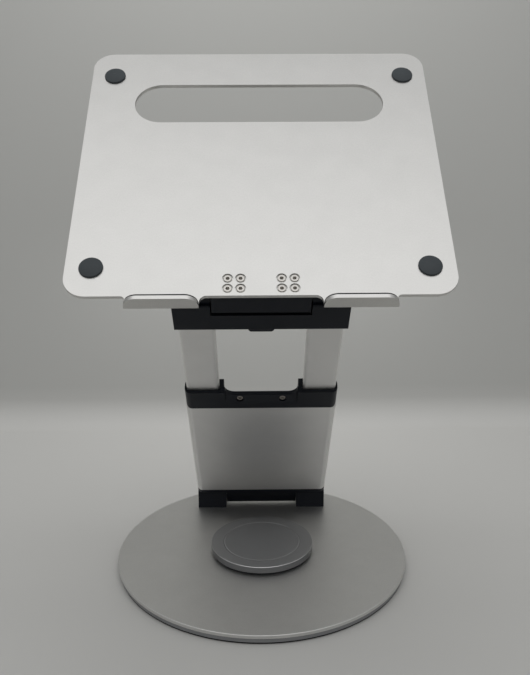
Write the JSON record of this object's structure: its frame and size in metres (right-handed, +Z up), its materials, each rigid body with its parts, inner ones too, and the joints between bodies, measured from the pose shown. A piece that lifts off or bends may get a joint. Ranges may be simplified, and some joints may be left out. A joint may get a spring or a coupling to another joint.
{
  "type": "laptop stand",
  "caption": "Laptop stand: tray with slot, rubber pads and front lips, tilting on a telescopic leaning column with a release button, on a round swivel base.",
  "frame": {"origin": "centre of the foot pad's face on the floor, on the swivel axis", "axes": "+Z up, +X to the user's right, the user's side is -Y"},
  "size_m": [0.266, 0.2567, 0.4261],
  "materials": {
    "foot_rubber": "matt black rubber",
    "dark_steel": "dark painted steel, satin",
    "plate_metal": "grey anodised look, fine matt",
    "cap_metal": "dark grey anodised, polished chamfer",
    "bright_steel": "plain steel",
    "nylon": "natural nylon",
    "black_plastic": "black, fine satin",
    "column_metal": "silver anodised, satin",
    "bronze": "sintered bronze",
    "tray_metal": "silver anodised, fine sand-blasted",
    "pad_rubber": "dark slate soft rubber",
    "disc_metal": "dark grey painted steel",
    "screw_metal": "nickel-plated",
    "screw_dark": "dark nickel-plated"
  },
  "bodies": {
    "base": {"rubber_foot": "foot_rubber", "lower_disc": "disc_metal", "axle_stud": "bright_steel", "axle_washer": "bright_steel", "axle_nut": "bright_steel", "glide_ring": "black_plastic", "swivel_cap": "cap_metal"},
    "turntable": {"base_plate": "plate_metal", "thrust_ring": "nylon", "hinge_foot_left": "black_plastic", "hinge_foot_right": "black_plastic", "foot_screws": "screw_metal", "lower_shaft": "bright_steel", "foot_plugs": "black_plastic"},
    "column": {"column_shell": "column_metal", "lower_knuckle": "black_plastic", "knuckle_bushes": "bronze", "knuckle_screws": "screw_metal", "collar": "black_plastic", "collar_screws": "screw_dark", "collar_brace": "dark_steel", "brace_screws": "screw_metal", "tube_liners": "black_plastic"},
    "upper": {"tube_left": "column_metal", "tube_right": "column_metal", "crossbar": "black_plastic", "crossbar_cover": "black_plastic", "cover_screws": "screw_metal", "tube_pins": "bright_steel", "tube_sliders": "black_plastic", "upper_shaft": "bright_steel", "yoke_spring": "bright_steel"},
    "release": {"release_button": "black_plastic", "release_yoke": "bright_steel", "release_rods": "bright_steel"},
    "bolt_left": {"bolt_left": "bright_steel"},
    "bolt_right": {"bolt_right": "bright_steel"},
    "tray": {"tray_plate": "tray_metal", "lip_strips": "foot_rubber", "tray_pads": "pad_rubber", "tray_screws": "screw_metal", "hinge_block": "black_plastic", "block_bushes": "bronze", "tilt_washers": "dark_steel"}
  },
  "joints": [
    {"name": "swivel", "type": "hinge", "parent": "base", "child": "turntable", "pos_m": [0, 0, 0.007], "axis": [0, 0, 1], "continuous": true},
    {"name": "column_lean", "type": "hinge", "parent": "turntable", "child": "column", "pos_m": [0, 0.0882, 0.021], "axis": [1, 0, 0], "range_deg": [-38.5, 36.5]},
    {"name": "column_slide", "type": "slide", "parent": "column", "child": "upper", "axis": [0, -0.6225, 0.7826], "range_m": [-0.08, 0]},
    {"name": "button_press", "type": "slide", "parent": "upper", "child": "release", "axis": [0, -0.6225, 0.7826], "range_m": [0, 0.003], "stiffness_N_per_m": 700, "springref_m": -0.004},
    {"name": "bolt_left_slide", "type": "slide", "parent": "upper", "child": "bolt_left", "axis": [-1, 0, 0], "range_m": [0, 0.0012]},
    {"name": "bolt_right_slide", "type": "slide", "parent": "upper", "child": "bolt_right", "axis": [1, 0, 0], "range_m": [0, 0.0012]},
    {"name": "tray_tilt", "type": "hinge", "parent": "upper", "child": "tray", "pos_m": [0, -0.10291, 0.26126], "axis": [1, 0, 0], "range_deg": [-47.5, 37.5]}
  ],
  "couplings": [
    {"joint": "bolt_left_slide", "follows": "button_press", "ratio": 0.4},
    {"joint": "bolt_right_slide", "follows": "button_press", "ratio": 0.4}
  ]
}
